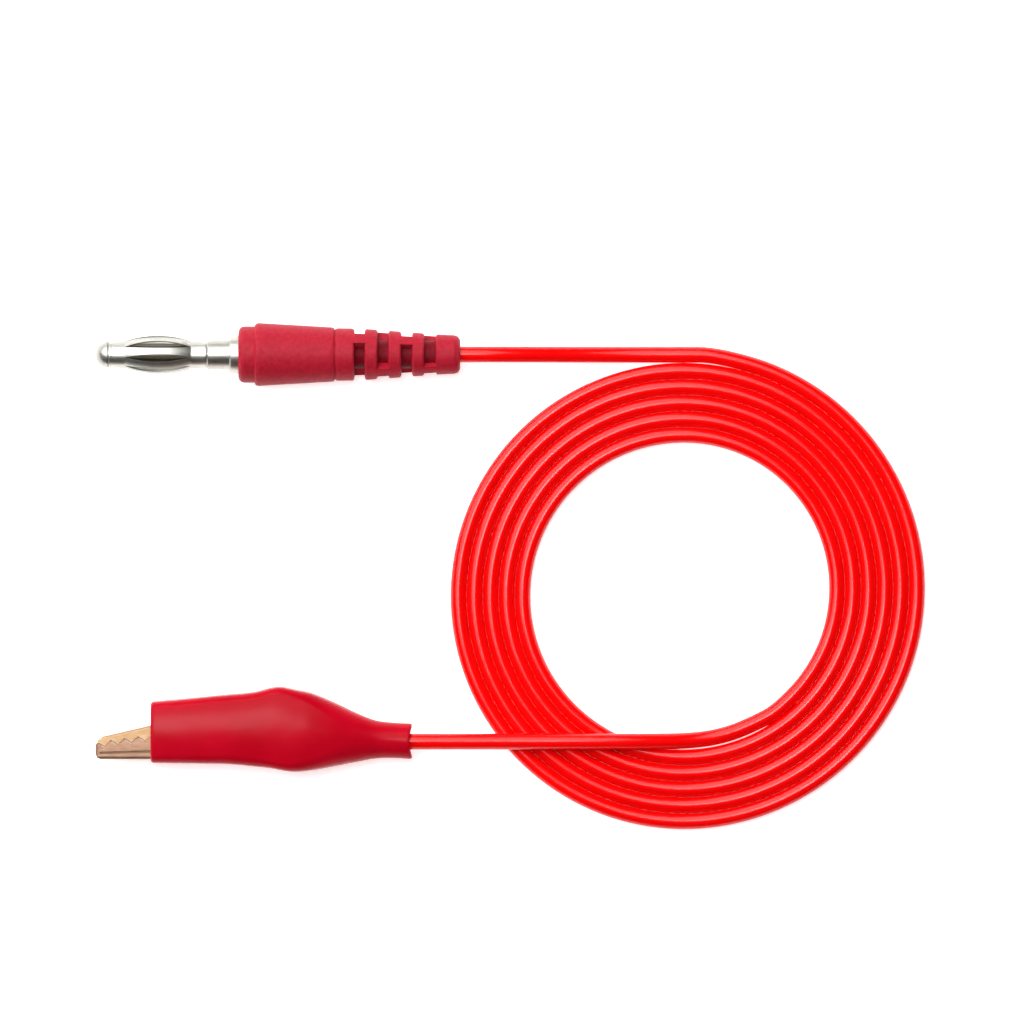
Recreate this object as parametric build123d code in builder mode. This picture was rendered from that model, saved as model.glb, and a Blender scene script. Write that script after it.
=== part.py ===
"""Alligator clip lead: a copper-plated alligator clip in a PVC boot, one metre of red
cord coiled flat, and a 4 mm lantern plug in a moulded handle. Millimetres.

The clip lies on its side: +X from its nose to its cord, +Y from its lower jaw to its
upper jaw, +Z up. The origin is under the middle of the clip, on the table.
"""

import os
from math import cos, pi, radians, sin, tan

from build123d import *

os.makedirs("parts", exist_ok=True)

# ---------------------------------------------------------------- driving dimensions
# clip
CLIP_Z = 4.0  # height of the clip's mid-plane above the table
NOSE_X = -21.7
TAIL_X = 21.7
SHEET = 0.5  # thickness of the jaws' sheet metal
BEND_R = 0.45
PIVOT_X = -4.0
PIVOT_Y = -0.7
EAR_R = 1.7
RIVET_R = 0.9
RIVET_HEAD_R = 1.6
RIVET_HEAD_T = 0.45
RUNNING_GAP = 0.05  # radial gap of a turning fit
JAW_BOTTOM_Y = -4.1
TOOTH_START_X = -21.5
TOOTH_HALF_PITCH = 0.93
TOOTH_HEIGHT = 0.7
TOOTH_LINE_Y = -2.13  # middle of the first tooth's flank
TOOTH_LINE_SLOPE = 0.138
TOOTH_FLANKS = 12
TOOTH_GAP = 0.15  # left between the closed jaws, along Y
TOOTH_SHIFT = 0.08  # the upper jaw's teeth sit this much further along X
FAR_TEETH_DROP = 0.22  # the teeth on the -Z side sit this much lower, so the shut mouth is dark
NOSE_HALF = 1.7  # half width of both jaws near the nose
MOUTH_HALF = 2.05  # half width of both jaws at the last visible teeth
TEETH_END_X = -14.0
LOWER_HALF = 2.75  # half width of the lower jaw at the pivot
UPPER_HALF = 2.15  # half width of the upper jaw, which nests in the lower one
SPRING_WIRE_R = 0.3
SPRING_MEAN_R = 1.5
SPRING_PITCH = 0.74
SPRING_UPPER_LEG = 24.5  # degrees above +X
SPRING_LOWER_LEG = 14.2  # degrees below +X
SPRING_LEG_L = 7.2
SPRING_BEND_R = 0.35  # the wire's radius where it bends out into a leg
BOOT_MOUTH_X = -14.1

# cord
CORD_R = 1.1
CORD_D = 2 * CORD_R
CONDUCTOR_R = 0.55
CORD_CLIP_Y = -1.7  # the cord's axis where it leaves the boot
CRIMP_T = 0.4

# plug
PLUG_Y = 51.4
PLUG_Z = 4.35
PLUG_TIP_X = -21.7
CAGE_FRONT_X = -19.6
COLLAR_X = -6.5
FLANGE_X = -3.3
HANDLE_X = -2.1
HANDLE_END_X = 28.3
PIN_R = 1.5
BAND_R = 1.85
CROWN_R = 2.58
COLLAR_R = 2.0
FLANGE_R = 2.6
CAP_R = BAND_R
SHANK_R = 1.8
CUP_R = 1.4
LEAF_T = 0.25
LEAVES = 8
SLOT_W = 1.15
SLOT_TURN = 12  # degrees from +Y to the first slot
END_PLAY = 0.1  # gap at each end of the contact cage
NECK_R = 1.9  # inner mould under the strain relief's windows
MOULD_R = 3.0
HANDLE_R = 4.33

# coil
COIL_X = 59.0
COIL_TURNS = 5
COIL_PITCH = CORD_D
COIL_R = (PLUG_Y - CORD_CLIP_Y + COIL_TURNS * COIL_PITCH) / 2
RIGHT_Y = PLUG_Y - COIL_R  # centre of the half turns on the right
LEFT_Y = RIGHT_Y - COIL_PITCH / 2  # centre of the half turns on the left
LIFT_ANGLE = 60  # degrees below +X where the innermost strand leaves the flat coil

CLIP_PLANE = Plane.XY.offset(CLIP_Z)
PLUG_AXIS = Axis((0, PLUG_Y, PLUG_Z), (1, 0, 0))


# ---------------------------------------------------------------- shared shapes
def outline(points, plane):
    """A flat face with straight edges through the points."""
    with BuildSketch(plane) as face:
        with BuildLine():
            Polyline(*points, close=True)
        make_face()
    return face.sketch


def mirrored_plan(stations):
    """Plan view of a jaw, seen along Y, from its half widths along X."""
    upper = [(x, CLIP_Z + half) for x, half in stations]
    lower = [(x, CLIP_Z - half) for x, half in reversed(stations)]
    return outline(upper + lower, Plane.XZ)


def cross_plane(x, y=CORD_CLIP_Y, z=CLIP_Z):
    """A plane across X, with +Y as its first direction and +Z as its second."""
    return Plane(origin=(x, y, z), x_dir=(0, 1, 0), z_dir=(1, 0, 0))


def plug_plane(angle=0.0):
    """A plane through the plug's axis, turned from +Y towards +Z by an angle in degrees."""
    turned = (0, -sin(radians(angle)), cos(radians(angle)))
    return Plane(origin=(0, PLUG_Y, PLUG_Z), x_dir=(1, 0, 0), z_dir=turned)


def turned_profile(points, angle=0.0):
    """Half section of a turned piece on the plug's axis: points are (x, radius)."""
    return outline(points, plug_plane(angle))


def corner_radii(points):
    """The arc at each corner of a cord's route: 0.45 of its shorter run, over tan(half turn)."""
    radii = []
    for before, here, after in zip(points, points[1:], points[2:]):
        run_in = Vector(*here) - Vector(*before)
        run_out = Vector(*after) - Vector(*here)
        half_turn = radians(run_in.get_angle(run_out)) / 2
        radii.append(0.45 * min(run_in.length, run_out.length) / tan(half_turn))
    return radii


def report_tube(name, part, path_length):
    """Print a tube's volume beside its section times its length."""
    expected = pi * CORD_R**2 * path_length
    print(f"{name}: length {path_length:.1f}, volume {part.volume:.1f}, section x length {expected:.1f}")


def tooth_line(shift_x, shift_y):
    """The zigzag where the jaws meet, moved along X and Y."""
    points = []
    for i in range(TOOTH_FLANKS + 1):
        x = TOOTH_START_X + i * TOOTH_HALF_PITCH
        middle = TOOTH_LINE_Y + TOOTH_LINE_SLOPE * (x - TOOTH_START_X)
        side = 1 if i % 2 == 0 else -1
        points.append((x + shift_x, middle + side * TOOTH_HEIGHT / 2 + shift_y))
    return points


LAST_TOOTH_X = TOOTH_START_X + TOOTH_FLANKS * TOOTH_HALF_PITCH
EAR_BACK_X = PIVOT_X + EAR_R

# ---------------------------------------------------------------- lower jaw
LEVER_BACK_X = 5.0
LEVER_BOTTOM_Y = -5.0
CRIMP_X = 9.0
CRIMP_END_X = 12.3
CRIMP_R = CORD_R + CRIMP_T
GROOVE_Y = -3.22
GROOVE_W = 0.34
GROOVE_DEPTH = 0.25
WEB_HALF = 1.2


def lower_side(tooth_drop):
    """Side view of the lower jaw, with its tooth line lowered."""
    return [
        (NOSE_X + 0.75, JAW_BOTTOM_Y),
        (NOSE_X + 0.2, JAW_BOTTOM_Y + 0.25),
        (NOSE_X, JAW_BOTTOM_Y + 0.8),
        (NOSE_X, TOOTH_LINE_Y - tooth_drop / 2),
        *tooth_line(0, -TOOTH_GAP / 2 - tooth_drop),
        (LAST_TOOTH_X + 0.8, -2.3),
        (PIVOT_X - EAR_R - 1.6, -2.3),
        (PIVOT_X - EAR_R, PIVOT_Y),
        (EAR_BACK_X, PIVOT_Y),
        (1.0, -3.2),
        (LEVER_BACK_X, -4.2),
        (LEVER_BACK_X + 1.2, LEVER_BOTTOM_Y + SHEET),
        (LEVER_BACK_X + 1.2, LEVER_BOTTOM_Y),
        (LEVER_BACK_X, LEVER_BOTTOM_Y),
        (-3.0, JAW_BOTTOM_Y),
    ]


lower_hollow = [
    (NOSE_X + SHEET + 0.3, JAW_BOTTOM_Y + SHEET),
    (NOSE_X + SHEET, JAW_BOTTOM_Y + SHEET + 0.3),
    (NOSE_X + SHEET, 3.0),
    (LEVER_BACK_X + 2, 3.0),
    (LEVER_BACK_X + 2, LEVER_BOTTOM_Y + SHEET),
    (LEVER_BACK_X, LEVER_BOTTOM_Y + SHEET),
    (-3.0, JAW_BOTTOM_Y + SHEET),
]
lower_plan = [
    (NOSE_X - 1, NOSE_HALF - 0.3),
    (NOSE_X, NOSE_HALF - 0.3),
    (NOSE_X + 0.35, NOSE_HALF),
    (TEETH_END_X, MOUTH_HALF),
    (-8.0, LOWER_HALF),
    (3.5, LOWER_HALF),
    (LEVER_BACK_X + 1.2, WEB_HALF),
]
lower_inner_plan = [
    (NOSE_X - 1, NOSE_HALF - SHEET),
    (TEETH_END_X, MOUTH_HALF - SHEET),
    (-8.0, LOWER_HALF - SHEET),
    (LEVER_BACK_X + 3, LOWER_HALF - SHEET),
]
web_side = [
    (LEVER_BACK_X + 1.0, LEVER_BOTTOM_Y),
    (LEVER_BACK_X + 1.2, LEVER_BOTTOM_Y),
    (CRIMP_X - 0.4, CORD_CLIP_Y - CRIMP_R),
    (CRIMP_X + 0.3, CORD_CLIP_Y - CRIMP_R),
    (CRIMP_X + 0.3, CORD_CLIP_Y - CRIMP_R + CRIMP_T),
    (CRIMP_X - 0.6, CORD_CLIP_Y - CRIMP_R + CRIMP_T),
    (LEVER_BACK_X + 1.0, LEVER_BOTTOM_Y + SHEET),
]

groove_side = [
    (NOSE_X + 0.7, GROOVE_Y - GROOVE_W / 2),
    (-8.5, GROOVE_Y + 0.35 - GROOVE_W / 2),
    (-8.5, GROOVE_Y + 0.35 + GROOVE_W / 2),
    (NOSE_X + 0.7, GROOVE_Y + GROOVE_W / 2),
    (NOSE_X + 0.5, GROOVE_Y),
]


def is_lower_bend(edge):
    """Is this one of the long edges where the lower jaw's floor turns up into its sides?"""
    along_x = abs(edge.tangent_at(0.5).X) > 0.9
    return along_x and edge.length > 3 and edge.center().Y < JAW_BOTTOM_Y + 0.05


def is_upper_bend(edge):
    """Is this one of the long edges where the upper jaw's top turns down into its sides?"""
    along_x = abs(edge.tangent_at(0.5).X) > 0.9
    x = edge.center().X
    top = -1.0 + (LEVER_TOP_Y + 1.0) * (x - NOSE_X - 1.0) / (LEVER_TOP_X - NOSE_X - 1.0)
    return along_x and edge.length > 1 and edge.center().Y > top - 0.5


# the hollow of the sheet-metal channel, cut out of the solid jaw below
with BuildPart() as lower_channel:
    extrude(outline(lower_hollow, CLIP_PLANE), amount=LOWER_HALF, both=True)
    extrude(mirrored_plan(lower_inner_plan), amount=10, both=True, mode=Mode.INTERSECT)

# a rolled groove runs along both sides of the lower jaw, above its floor
groove_plan = [(x, half - GROOVE_DEPTH) for x, half in lower_plan]
with BuildPart() as groove_cutter:
    extrude(outline(groove_side, CLIP_PLANE), amount=LOWER_HALF, both=True)
    extrude(mirrored_plan(groove_plan), amount=10, both=True, mode=Mode.SUBTRACT)

with BuildPart() as lower_jaw:
    extrude(outline(lower_side(0), CLIP_PLANE), amount=LOWER_HALF)
    extrude(outline(lower_side(FAR_TEETH_DROP), CLIP_PLANE), amount=-LOWER_HALF)
    with BuildSketch(CLIP_PLANE):
        with Locations((PIVOT_X, PIVOT_Y)):
            Circle(EAR_R)
    extrude(amount=LOWER_HALF, both=True)
    extrude(mirrored_plan(lower_plan), amount=10, both=True, mode=Mode.INTERSECT)
    bends = lower_jaw.edges().filter_by(is_lower_bend)
    fillet(bends, BEND_R)
    add(lower_channel.part, mode=Mode.SUBTRACT)
    with BuildSketch(CLIP_PLANE):
        with Locations((PIVOT_X, PIVOT_Y)):
            Circle(RIVET_R)
    extrude(amount=LOWER_HALF + 1, both=True, mode=Mode.SUBTRACT)
    add(groove_cutter.part, mode=Mode.SUBTRACT)
    # a narrow web joins the lever to the crimp barrel that grips the cord
    extrude(outline(web_side, CLIP_PLANE), amount=WEB_HALF, both=True)
    with BuildSketch(cross_plane(CRIMP_X)):
        Circle(CRIMP_R)
        Circle(CORD_R, mode=Mode.SUBTRACT)
        with Locations((CRIMP_R, 0)):
            Rectangle(2 * CRIMP_T + 0.6, 0.35, mode=Mode.SUBTRACT)
    extrude(amount=CRIMP_END_X - CRIMP_X)
lower_jaw.part.label = "lower_jaw"
export_step(lower_jaw.part, "parts/lower_jaw.step")

# ---------------------------------------------------------------- upper jaw
LEVER_TOP_X = 3.4
LEVER_TOP_Y = 5.05


def upper_side(tooth_drop):
    """Side view of the upper jaw, with its tooth line lowered."""
    return [
        (TOOTH_START_X + TOOTH_SHIFT, -1.5),
        (NOSE_X + 1.0, -1.0),
        (TEETH_END_X, 0.56),
        (PIVOT_X, 2.9),
        (LEVER_TOP_X, LEVER_TOP_Y),
        (LEVER_TOP_X + 1.2, LEVER_TOP_Y - 0.15),
        (LEVER_TOP_X + 1.2, LEVER_TOP_Y - 0.7),
        (LEVER_TOP_X - 0.4, LEVER_TOP_Y - 1.7),
        (EAR_BACK_X, PIVOT_Y),
        (PIVOT_X - EAR_R, PIVOT_Y),
        (-8.0, -0.3),
        *reversed(tooth_line(TOOTH_SHIFT, TOOTH_GAP / 2 - tooth_drop)),
    ]


upper_hollow = [
    (NOSE_X + SHEET + 0.3, -1.0 - SHEET),
    (TEETH_END_X, 0.56 - SHEET),
    (PIVOT_X, 2.9 - SHEET),
    (LEVER_TOP_X, LEVER_TOP_Y - SHEET),
    (LEVER_TOP_X + 3, LEVER_TOP_Y - SHEET - 0.3),
    (LEVER_TOP_X + 3, -6.0),
    (NOSE_X + SHEET + 0.3, -6.0),
]
upper_plan = [
    (NOSE_X - 1, NOSE_HALF - 0.3),
    (NOSE_X, NOSE_HALF - 0.3),
    (NOSE_X + 0.35, NOSE_HALF),
    (TEETH_END_X, MOUTH_HALF),
    (-8.0, UPPER_HALF),
    (LEVER_TOP_X + 2, UPPER_HALF),
]
upper_inner_plan = [
    (NOSE_X - 1, NOSE_HALF - SHEET),
    (TEETH_END_X, MOUTH_HALF - SHEET),
    (-8.0, UPPER_HALF - SHEET),
    (LEVER_TOP_X + 4, UPPER_HALF - SHEET),
]

# the hollow of the upper channel
with BuildPart() as upper_channel:
    extrude(outline(upper_hollow, CLIP_PLANE), amount=LOWER_HALF, both=True)
    extrude(mirrored_plan(upper_inner_plan), amount=10, both=True, mode=Mode.INTERSECT)

with BuildPart() as upper_jaw:
    extrude(outline(upper_side(0), CLIP_PLANE), amount=LOWER_HALF)
    extrude(outline(upper_side(FAR_TEETH_DROP), CLIP_PLANE), amount=-LOWER_HALF)
    with BuildSketch(CLIP_PLANE):
        with Locations((PIVOT_X, PIVOT_Y)):
            Circle(EAR_R)
    extrude(amount=LOWER_HALF, both=True)
    extrude(mirrored_plan(upper_plan), amount=10, both=True, mode=Mode.INTERSECT)
    fillet(upper_jaw.edges().filter_by(is_upper_bend), 0.8 * BEND_R)
    add(upper_channel.part, mode=Mode.SUBTRACT)
    with BuildSketch(CLIP_PLANE):
        with Locations((PIVOT_X, PIVOT_Y)):
            Circle(RIVET_R + RUNNING_GAP)
    extrude(amount=LOWER_HALF + 1, both=True, mode=Mode.SUBTRACT)
upper_jaw.part.label = "upper_jaw"
export_step(upper_jaw.part, "parts/upper_jaw.step")

# ---------------------------------------------------------------- pivot rivet
with BuildPart() as pivot_rivet:
    with BuildSketch(CLIP_PLANE):
        with Locations((PIVOT_X, PIVOT_Y)):
            Circle(RIVET_R)
    extrude(amount=LOWER_HALF, both=True)
    for side in (1, -1):
        with BuildSketch(Plane.XY.offset(CLIP_Z + side * LOWER_HALF)):
            with Locations((PIVOT_X, PIVOT_Y)):
                Circle(RIVET_HEAD_R)
        extrude(amount=side * RIVET_HEAD_T)
    rims = pivot_rivet.edges().filter_by(GeomType.CIRCLE).group_by(Axis.Z)
    fillet(rims[0] + rims[-1], 0.35)
pivot_rivet.part.label = "pivot_rivet"
export_step(pivot_rivet.part, "parts/pivot_rivet.step")

# ---------------------------------------------------------------- torsion spring
# A left-hand helix, so squeezing the levers winds it tighter. Both legs leave it on a tangent.
SPRING_START = -(90 + SPRING_LOWER_LEG)
SPRING_SWEEP = SPRING_START - (90 + SPRING_UPPER_LEG) + 4 * 360
SPRING_H = SPRING_SWEEP / 360 * SPRING_PITCH


# The spring is drawn about its own axis, with its first turn's start on +X, and then placed.
low_end = Vector(SPRING_MEAN_R, 0, 0)
low_leg = Vector(0, 1, 0)
high_end = Vector(SPRING_MEAN_R, 0, SPRING_H).rotate(Axis.Z, -SPRING_SWEEP)
high_leg = Vector(0, -1, 0).rotate(Axis.Z, -SPRING_SWEEP)

with BuildPart() as spring_coil:
    with BuildLine() as turns:
        Helix(pitch=SPRING_PITCH, height=SPRING_H, radius=SPRING_MEAN_R, lefthand=True)
    with BuildSketch(Plane(origin=turns.line @ 0, z_dir=turns.line % 0)):
        Circle(SPRING_WIRE_R)
    sweep(is_frenet=True)


def spring_leg(end, direction):
    """One straight leg, with the rounded bend where it leaves the coil."""
    with BuildPart() as leg:
        with BuildSketch(Plane(origin=end, z_dir=direction)):
            Circle(SPRING_WIRE_R)
        extrude(amount=SPRING_LEG_L)
        with Locations(end):
            Sphere(SPRING_BEND_R)
    return leg.part


lower_spring_leg = spring_leg(low_end, low_leg)
upper_spring_leg = spring_leg(high_end, high_leg)
with BuildPart() as torsion_spring:
    add(spring_coil.part)
    add(lower_spring_leg)
    add(upper_spring_leg)
turned_spring = torsion_spring.part.rotate(Axis.Z, SPRING_START)
placed_spring = turned_spring.moved(Location((PIVOT_X, PIVOT_Y, CLIP_Z - SPRING_H / 2)))
placed_spring.label = "torsion_spring"
export_step(placed_spring, "parts/torsion_spring.step")

# ---------------------------------------------------------------- clip boot
# Each station is x, lowest y, highest y, half height, corner radius.
boot_outer = [
    (BOOT_MOUTH_X, -4.65, 3.85, 3.85, 1.5),
    (-8.6, -4.7, 4.4, 3.95, 1.7),
    (-2.0, -4.95, 4.95, 4.05, 1.9),
    (3.6, -5.65, 5.9, 4.1, 2.2),
    (7.6, -5.7, 5.15, 4.05, 2.4),
    (12.3, -4.9, 3.16, 3.4, 2.4),
    (16.7, -4.05, 1.24, 2.62, 2.3),
    (TAIL_X, -4.15, 0.8, 2.475, 2.3),
]
boot_inner = [
    (BOOT_MOUTH_X, -4.22, 3.3, 3.15, 0.8),
    (-8.6, -4.25, 3.85, 3.25, 0.8),
    (-2.0, -4.45, 4.35, 3.35, 0.8),
    (3.6, -5.15, 5.3, 3.4, 0.9),
    (7.6, -5.15, 4.5, 3.3, 1.4),
    (12.3, -4.2, 2.4, 2.6, 1.7),
    (15.5, -3.1, -0.3, 1.4, 1.3),
]


def boot_section(x, low, high, half_z, corner):
    """A rounded rectangle across the boot."""
    with BuildSketch(cross_plane(x, (low + high) / 2)) as section:
        RectangleRounded(high - low, 2 * half_z, corner)
    return section.sketch


with BuildPart() as boot_cavity:
    loft([boot_section(*station) for station in boot_inner])
    with BuildSketch(cross_plane(15.0)):
        Circle(CORD_R)
    extrude(amount=TAIL_X - 15.0)

with BuildPart() as clip_boot:
    loft([boot_section(*station) for station in boot_outer])
    add(boot_cavity.part, mode=Mode.SUBTRACT)
    # the clip lies on one of the boot's two flat sides
    split(bisect_by=Plane.XY, keep=Keep.TOP)
    split(bisect_by=Plane.XY.offset(2 * CLIP_Z), keep=Keep.BOTTOM)
clip_boot.part.label = "clip_boot"
export_step(clip_boot.part, "parts/clip_boot.step")

# ---------------------------------------------------------------- cord inside the clip
JACKET_START_X = 8.0
SOLDER_X = 4.0
SOLDER_R = 1.25
SOLDER_LOW_Y = -4.2
with BuildPart() as cord_clip_stub:
    with BuildSketch(cross_plane(JACKET_START_X)):
        Circle(CORD_R)
    extrude(amount=TAIL_X - JACKET_START_X)
cord_clip_stub.part.label = "cord_clip_stub"
export_step(cord_clip_stub.part, "parts/cord_clip_stub.step")

# the bared conductor dips from the jacket to the lever, where it is soldered
CONDUCTOR_LOW_Y = LEVER_BOTTOM_Y + SHEET + CONDUCTOR_R + 0.25
conductor_route = [
    (JACKET_START_X, CORD_CLIP_Y, CLIP_Z),
    (JACKET_START_X - 1.2, CORD_CLIP_Y, CLIP_Z),
    (JACKET_START_X - 3.0, CONDUCTOR_LOW_Y, CLIP_Z),
    (SOLDER_X - 1.4, CONDUCTOR_LOW_Y + 0.1, CLIP_Z),
]
with BuildPart() as clip_conductor:
    with BuildLine():
        FilletPolyline(*conductor_route, radius=corner_radii(conductor_route))
    with BuildSketch(cross_plane(JACKET_START_X)):
        Circle(CONDUCTOR_R)
    sweep()
clip_conductor.part.label = "clip_conductor"
export_step(clip_conductor.part, "parts/clip_conductor.step")

# a drop of solder, cut off flat just above the lever
with BuildPart() as clip_solder:
    with Locations((SOLDER_X, LEVER_BOTTOM_Y + SHEET + 0.1, CLIP_Z)):
        Sphere(SOLDER_R)
    add(clip_conductor.part, mode=Mode.SUBTRACT)
    split(bisect_by=Plane((0, SOLDER_LOW_Y, CLIP_Z), z_dir=(0, 1, 0)), keep=Keep.TOP)
clip_solder.part.label = "clip_solder"
export_step(clip_solder.part, "parts/clip_solder.step")

# ---------------------------------------------------------------- plug: turned pin
STUD_R = 0.9  # the stud that the nose cap is pressed on
STUD_X = CAGE_FRONT_X - 1.4
KEY_GROOVE = (1.0, 1.6)  # where the groove that keys the handle's moulding starts and ends
KEY_R = SHANK_R - 0.3
CUP_X = 4.0  # where the shank narrows to the solder cup
CUP_END_X = 7.5
CUP_BORE_R = 0.75
CUP_FLOOR_X = 4.6
with BuildPart() as plug_pin:
    pin_profile = [
        (STUD_X, 0),
        (STUD_X, STUD_R),
        (CAGE_FRONT_X, STUD_R),
        (CAGE_FRONT_X, PIN_R),
        (COLLAR_X, PIN_R),
        (COLLAR_X, COLLAR_R - 0.2),
        (COLLAR_X + 0.2, COLLAR_R),
        (FLANGE_X - 0.12, COLLAR_R),
        (FLANGE_X - 0.12, COLLAR_R + 0.15),
        (FLANGE_X, COLLAR_R + 0.15),
        (FLANGE_X, FLANGE_R - 0.12),
        (FLANGE_X + 0.12, FLANGE_R),
        (HANDLE_X, FLANGE_R),
        (HANDLE_X, SHANK_R),
        (KEY_GROOVE[0], SHANK_R),
        (KEY_GROOVE[0], KEY_R),
        (KEY_GROOVE[1], KEY_R),
        (KEY_GROOVE[1], SHANK_R),
        (CUP_X, SHANK_R),
        (CUP_X, CUP_R),
        (CUP_END_X, CUP_R),
        (CUP_END_X, CUP_BORE_R),
        (CUP_FLOOR_X, CUP_BORE_R),
        (CUP_FLOOR_X, 0),
    ]
    revolve(turned_profile(pin_profile), axis=PLUG_AXIS)
plug_pin.part.label = "plug_pin"
export_step(plug_pin.part, "parts/plug_pin.step")

# ---------------------------------------------------------------- plug: nose cap
# a dome with a fine groove behind it and a narrow rim at its back
DOME_END_X = PLUG_TIP_X + 1.62
with BuildPart() as plug_nose_cap:
    with BuildSketch(plug_plane()):
        with BuildLine():
            ThreePointArc((PLUG_TIP_X, 0), (PLUG_TIP_X + 0.47, 1.24), (DOME_END_X, CAP_R - 0.05))
            Polyline(
                (DOME_END_X, CAP_R - 0.05),
                (DOME_END_X + 0.08, CAP_R - 0.17),
                (DOME_END_X + 0.16, CAP_R - 0.05),
                (DOME_END_X + 0.2, CAP_R),
                (CAGE_FRONT_X, CAP_R),
                (CAGE_FRONT_X, STUD_R),
                (STUD_X, STUD_R),
                (STUD_X, 0),
                (PLUG_TIP_X, 0),
            )
        make_face()
    revolve(axis=PLUG_AXIS)
plug_nose_cap.part.label = "plug_nose_cap"
export_step(plug_nose_cap.part, "parts/plug_nose_cap.step")

# ---------------------------------------------------------------- plug: lantern contact
BAND_IN_R = PIN_R + RUNNING_GAP
CAGE_X0 = CAGE_FRONT_X + END_PLAY
CAGE_X1 = COLLAR_X - END_PLAY
LEAF_X0 = -17.7
LEAF_X1 = -8.6
CROWN_X = (LEAF_X0 + LEAF_X1) / 2
with BuildPart() as plug_contact_cage:
    with BuildSketch(plug_plane()):
        with BuildLine():
            Polyline((LEAF_X0, BAND_IN_R), (CAGE_X0, BAND_IN_R), (CAGE_X0, BAND_R), (LEAF_X0, BAND_R))
            ThreePointArc((LEAF_X0, BAND_R), (CROWN_X, CROWN_R), (LEAF_X1, BAND_R))
            Polyline((LEAF_X1, BAND_R), (CAGE_X1, BAND_R), (CAGE_X1, BAND_IN_R), (LEAF_X1, BAND_IN_R))
            ThreePointArc((LEAF_X1, BAND_IN_R), (CROWN_X, CROWN_R - LEAF_T), (LEAF_X0, BAND_IN_R))
        make_face()
    revolve(axis=PLUG_AXIS)
    # slots with pointed ends leave the leaves between them
    for i in range(LEAVES):
        with BuildSketch(plug_plane(i * 360 / LEAVES + SLOT_TURN - 90)):
            with BuildLine():
                ThreePointArc((LEAF_X0, 0), (CROWN_X, SLOT_W / 2), (LEAF_X1, 0))
                ThreePointArc((LEAF_X1, 0), (CROWN_X, -SLOT_W / 2), (LEAF_X0, 0))
            make_face()
        extrude(amount=2 * CROWN_R, mode=Mode.SUBTRACT)
plug_contact_cage.part.label = "plug_contact_cage"
export_step(plug_contact_cage.part, "parts/plug_contact_cage.step")

# ---------------------------------------------------------------- plug: inner mould
MOULD_X0 = 0.5
MOULD_X1 = 9.5
NECK_END_X = 25.2
JACKET_END_X = 9.0
with BuildPart() as plug_inner_mould:
    mould_profile = [
        (MOULD_X0, SHANK_R),
        (MOULD_X0, MOULD_R),
        (MOULD_X1, MOULD_R),
        (MOULD_X1, NECK_R),
        (NECK_END_X, NECK_R),
        (NECK_END_X, CORD_R),
        (JACKET_END_X, CORD_R),
        (JACKET_END_X, CONDUCTOR_R),
        (CUP_END_X, CONDUCTOR_R),
        (CUP_END_X, CUP_R),
        (CUP_X, CUP_R),
        (CUP_X, SHANK_R),
    ]
    revolve(turned_profile(mould_profile), axis=PLUG_AXIS)
plug_inner_mould.part.label = "plug_inner_mould"
export_step(plug_inner_mould.part, "parts/plug_inner_mould.step")

# ---------------------------------------------------------------- plug: handle
# The front collar, the lip and the grip are one turned shape. Behind the grip is a tapered strain
# relief. Four gaps are cut round it, each in two arcs, and two narrow bridges are left in each gap,
# a quarter turn on from those in the gap before.
COLLAR_LIP_X = 0.1
GRIP_END_X = 11.15
RELIEF = ((11.6, 3.62), (13.6, 3.58), (15.6, 3.5), (25.2, 2.77), (27.5, 2.66))  # x, radius
GAPS = ((13.8, 15.2), (17.0, 18.45), (20.25, 21.7), (23.4, 24.95))
GAP_ARC = 153
GAP_MIDDLES = (140.5, 50.5)  # degrees from +Y towards +Z, in turn from one gap to the next


def relief_radius(x):
    """The strain relief's radius at x."""
    for (x0, r0), (x1, r1) in zip(RELIEF, RELIEF[1:]):
        if x <= x1:
            break
    return r0 + (r1 - r0) * (x - x0) / (x1 - x0)


def gap_section(x0, x1):
    """Half section of what is cut out of one gap: narrow inside, with its mouth rounded out."""
    r0 = relief_radius(x0)
    r1 = relief_radius(x1)
    return [
        (x0 + 0.06, NECK_R),
        (x0, r0 - 0.4),
        (x0 - 0.07, r0 - 0.14),
        (x0 - 0.28, r0 + 0.03),
        (x0 - 0.28, HANDLE_R),
        (x1 + 0.28, HANDLE_R),
        (x1 + 0.28, r1 + 0.01),
        (x1 + 0.07, r1 - 0.14),
        (x1, r1 - 0.4),
        (x1 - 0.06, NECK_R),
    ]


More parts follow.
